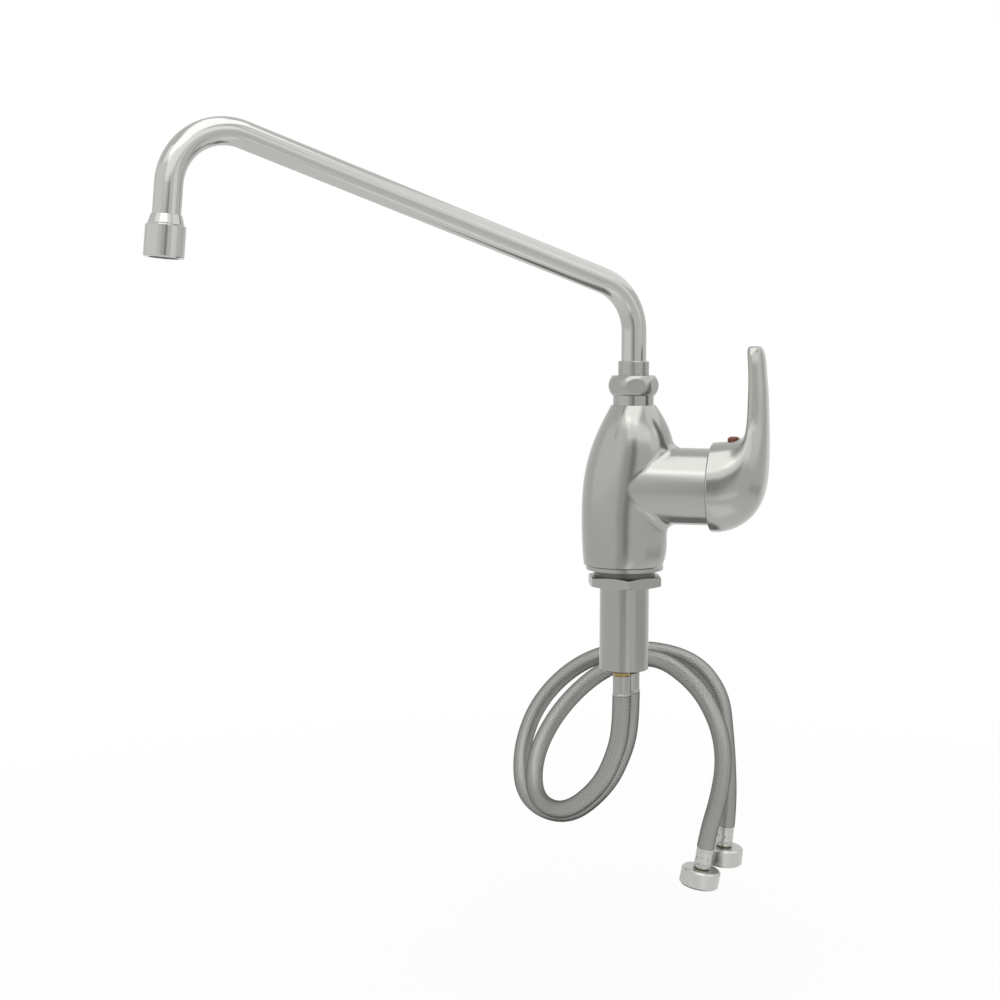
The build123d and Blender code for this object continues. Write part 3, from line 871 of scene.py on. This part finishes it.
def flag(name, place, width, height, level, aim=STAGE_CENTRE):
    """A studio card that only reflections see."""
    material = bpy.data.materials.new(name)
    material.use_nodes = True
    tree = material.node_tree
    tree.nodes.clear()
    glow = tree.nodes.new("ShaderNodeEmission")
    glow.inputs["Color"].default_value = (level, level, level, 1)
    connect(tree, glow.outputs[0], tree.nodes.new("ShaderNodeOutputMaterial").inputs["Surface"])
    card = rectangle(name, width, height)
    stand(card, place, aim)
    card.data.materials.append(material)
    card.visible_camera = False
    card.visible_diffuse = False
    card.visible_shadow = False


def floor_flag(name, place, width, height, level):
    """A card that lies just over the floor and turns its front up; reflections see the bright ones as
    painted pools of light and the dark one as a painted shadow on the floor.
    """
    lifted = Vector((place.x, place.y, stage().floor_height + CARD_LIFT))
    flag(name, lifted, width, height, level, aim=lifted + UP)


def seen_as_white(tree):
    """One for rays from the camera, from mirrors and through glass, and nothing for the rest."""
    rays = tree.nodes.new("ShaderNodeLightPath")
    direct = math_node(tree, "MAXIMUM", rays.outputs["Is Camera Ray"], rays.outputs["Is Glossy Ray"])
    return math_node(tree, "MAXIMUM", direct, rays.outputs["Is Transmission Ray"])


def make_world():
    """A white surround for the camera and for mirrors, which lights the rest more softly."""
    soft_light = 0.45
    world = bpy.data.worlds.new("Studio")
    bpy.context.scene.world = world
    world.use_nodes = True
    tree = world.node_tree
    background = tree.nodes["Background"]
    background.inputs["Color"].default_value = (1, 1, 1, 1)
    connect(tree, map_range(tree, seen_as_white(tree), soft_light, 1), background.inputs["Strength"])


def make_floor(height):
    """A pale floor that looks white from the camera and still takes a faint shadow; mirrors see it
    brighter near the middle, a painted pool of light.
    """
    width = 8
    mirrored_glow = 0.25
    middle_whiteness = 0.9
    floor = rectangle("studio_floor", width, width)
    floor.location = (0, 0, height)
    material, tree, shader = new_material("Studio floor")
    shader.inputs["Base Color"].default_value = (0.9, 0.9, 0.9, 1)
    shader.inputs["Roughness"].default_value = 0.9
    glow = tree.nodes.new("ShaderNodeEmission")
    rays = tree.nodes.new("ShaderNodeLightPath")
    distance = tree.nodes.new("ShaderNodeVectorMath")
    distance.operation = "LENGTH"
    connect(tree, object_place(tree), distance.inputs[0])
    # A painted pool of light: mirrors see the floor brighter near the middle.
    lit_spot = map_range(tree, distance.outputs["Value"], mirrored_glow, 0)
    glossy = rays.outputs["Is Glossy Ray"]
    connect(tree, math_node(tree, "MULTIPLY_ADD", glossy, lit_spot, 1), glow.inputs["Strength"])
    whiteness = map_range(tree, distance.outputs["Value"], middle_whiteness, 1)
    mix = tree.nodes.new("ShaderNodeMixShader")
    connect(tree, math_node(tree, "MULTIPLY", seen_as_white(tree), whiteness), mix.inputs["Fac"])
    connect(tree, shader.outputs["BSDF"], mix.inputs[1])
    connect(tree, glow.outputs[0], mix.inputs[2])
    connect(tree, mix.outputs[0], tree.nodes["Material Output"].inputs["Surface"])
    floor.data.materials.append(material)


def make_camera(settings):
    """The camera at the photograph's viewing angle."""
    camera = bpy.data.cameras.new("Camera")
    camera.lens = settings.lens
    camera.sensor_width = 36
    camera.clip_end = 50
    holder = add_object("Camera", camera)
    holder.location = settings.camera_place
    holder.rotation_euler = (pi / 2 - settings.camera_dip, 0, settings.camera_turn)
    bpy.context.scene.camera = holder


def make_lamps(overhead, side):
    """Softboxes overhead, in front and to the sides."""
    top = around(-12, 0, 0.66) + UP * 1.3
    softbox("overhead_softbox", top, width=1.3, height=1.9, level=overhead, aim=top - UP)
    softbox("front_softbox", around(8, 29, 2), width=2.5, height=0.95, level=overhead / 2)
    softbox("high_left_softbox", around(-46, 41, 1.9), width=1.4, height=0.6, level=overhead / 2)
    softbox("left_softbox", around(-68, 14, 1.8), width=2.5, height=1.1, level=side)
    softbox("right_softbox", around(58, 18, 1.8), width=1.15, height=0.85, level=side * 1.6)
    softbox("high_right_softbox", around(105, 43, 1.8), width=2.9, height=1.0, level=side * 2)


def make_cards():
    """Grey and bright studio cards, which shape what the faucet's metal mirrors. Those on the floor are
    painted pools of light and a painted shadow under the faucet.
    """
    flag("gap_between_lamps", around(-11, -2, 0.8), width=0.42, height=0.58, level=0.76)
    flag("dark_gap", around(-5, 4, 0.78), width=0.17, height=0.46, level=0.4)
    flag("right_card", around(80, -17, 0.7), width=0.8, height=0.12, level=0.78)
    # Painted pools of light and a painted shadow on the floor, seen only in reflections.
    floor_flag("lit_floor", around(10, 0, 0.87), width=0.34, height=0.32, level=1.5)
    floor_flag("near_floor", around(19, 0, 0.29), width=0.16, height=0.28, level=1.45)
    floor_flag("shaded_floor", Vector((-0.06, 0.18, 0)), width=0.22, height=0.3, level=0.35)


# Steps


class FAUCET_OT_stage(bpy.types.Operator):
    """Set up the camera, the lamps, the white floor and the studio cards"""

    bl_idname = "faucet.stage"
    bl_label = "Stage"

    def execute(self, context):
        settings = stage()
        context.scene.view_settings.view_transform = "Standard"
        make_camera(settings)
        make_world()
        make_floor(settings.floor_height)
        make_lamps(settings.overhead, settings.side)
        make_cards()
        return {"FINISHED"}


class FAUCET_OT_hoses(bpy.types.Operator):
    """Weave the two supply hoses along their routes and crimp their sleeves"""

    bl_idname = "faucet.hoses"
    bl_label = "Woven hoses"

    def execute(self, context):
        for name, facts in HOSES.items():
            make_hose(name, facts)
        return {"FINISHED"}


class FAUCET_OT_hose_fittings(bpy.types.Operator):
    """Finish the brass tails, the nipples, the washers and the coupling nuts"""

    bl_idname = "faucet.hose_fittings"
    bl_label = "Hose fittings"

    def execute(self, context):
        dress(turned_brass(), *both("hose_tail"), *both("hose_nipple"))
        dress(matt_fitting(), *both("coupling_nut"))
        dress(black_rubber(), *both("tail_o_ring"), *both("hose_washer"))
        return {"FINISHED"}


class FAUCET_OT_casting(bpy.types.Operator):
    """Finish the satin casting, its base ring, the bonnet cap and the spout nut"""

    bl_idname = "faucet.casting"
    bl_label = "Casting"

    def execute(self, context):
        dress(satin_nickel(), "body_casting", "base_ring", "bonnet_cap")
        dress(satin_nut(), "spout_nut")
        return {"FINISHED"}


class FAUCET_OT_handle(bpy.types.Operator):
    """Finish the lever handle, its button, its set screw and the stem inside"""

    bl_idname = "faucet.handle"
    bl_label = "Handle"

    def execute(self, context):
        dress(satin_nickel(), "handle")
        dress(red_plastic(), "index_button")
        dress(matt_fitting(), "set_screw", "lever_stem", "stem_pin")
        return {"FINISHED"}


class FAUCET_OT_spout(bpy.types.Operator):
    """Finish the spout tube, its tip, the aerator and the pieces at its foot"""

    bl_idname = "faucet.spout"
    bl_label = "Spout"

    def execute(self, context):
        dress(polished_nickel(), "spout_tube", "tip_adapter", "aerator_shell")
        dress(matt_fitting(), "aerator_screen")
        dress(turned_brass(), "spout_ferrule")
        dress(white_plastic(), "aerator_insert", "glide_ring")
        dress(black_rubber(), "aerator_washer", "spout_o_rings")
        return {"FINISHED"}


class FAUCET_OT_deck_fixing(bpy.types.Operator):
    """Finish the threaded shank, its nut, the clamp washer and the base gasket"""

    bl_idname = "faucet.deck_fixing"
    bl_label = "Deck fixing"

    def execute(self, context):
        dress(threaded_metal(), "mounting_shank")
        dress(plated_nut(), "mounting_nut")
        # The washer's dark colour is painted shade of the recess under the base.
        dress(shade_darkened_washer(), "clamp_washer")
        dress(black_rubber(), "base_gasket")
        return {"FINISHED"}


class FAUCET_OT_cartridge(bpy.types.Operator):
    """Finish the valve cartridge hidden in the arm"""

    bl_idname = "faucet.cartridge"
    bl_label = "Cartridge"

    def execute(self, context):
        dress(white_plastic(), "cartridge_base", "disc_carrier", "cartridge_housing", "stem_rotor")
        dress(valve_ceramic(), "fixed_disc", "moving_disc")
        dress(black_rubber(), "port_seals")
        dress(turned_brass(), "cartridge_nut")
        return {"FINISHED"}


class FAUCET_PT_panel(bpy.types.Panel):
    """Lists the faucet's settings and steps"""

    bl_idname = "FAUCET_PT_panel"
    bl_label = "Faucet"
    bl_space_type = "VIEW_3D"
    bl_region_type = "UI"
    bl_category = "Faucet"

    def draw(self, context):
        for settings in (finish(), hose(), stage()):
            box = self.layout.box()
            for name in settings.__annotations__:
                box.prop(settings, name)
        for step in STEPS:
            self.layout.operator(step.bl_idname)


SETTINGS = {"faucet_finish": FaucetFinish, "faucet_hose": FaucetHose, "faucet_stage": FaucetStage}
STEPS = (
    FAUCET_OT_stage,
    FAUCET_OT_hoses,
    FAUCET_OT_hose_fittings,
    FAUCET_OT_casting,
    FAUCET_OT_handle,
    FAUCET_OT_spout,
    FAUCET_OT_deck_fixing,
    FAUCET_OT_cartridge,
)


def register():
    """Adds the settings, the steps and the panel."""
    for kind in (*SETTINGS.values(), *STEPS, FAUCET_PT_panel):
        bpy.utils.register_class(kind)
    for name, kind in SETTINGS.items():
        setattr(bpy.types.Scene, name, PointerProperty(type=kind))


def unregister():
    """Takes the settings, the steps and the panel away again."""
    for name in SETTINGS:
        delattr(bpy.types.Scene, name)
    for kind in (FAUCET_PT_panel, *reversed(STEPS), *reversed(SETTINGS.values())):
        bpy.utils.unregister_class(kind)


def main():
    """Registers the classes and dresses the faucet step by step."""
    register()
    bpy.ops.faucet.stage()
    bpy.ops.faucet.hoses()
    bpy.ops.faucet.hose_fittings()
    bpy.ops.faucet.casting()
    bpy.ops.faucet.handle()
    bpy.ops.faucet.spout()
    bpy.ops.faucet.deck_fixing()
    bpy.ops.faucet.cartridge()


if __name__ == "__main__":
    main()
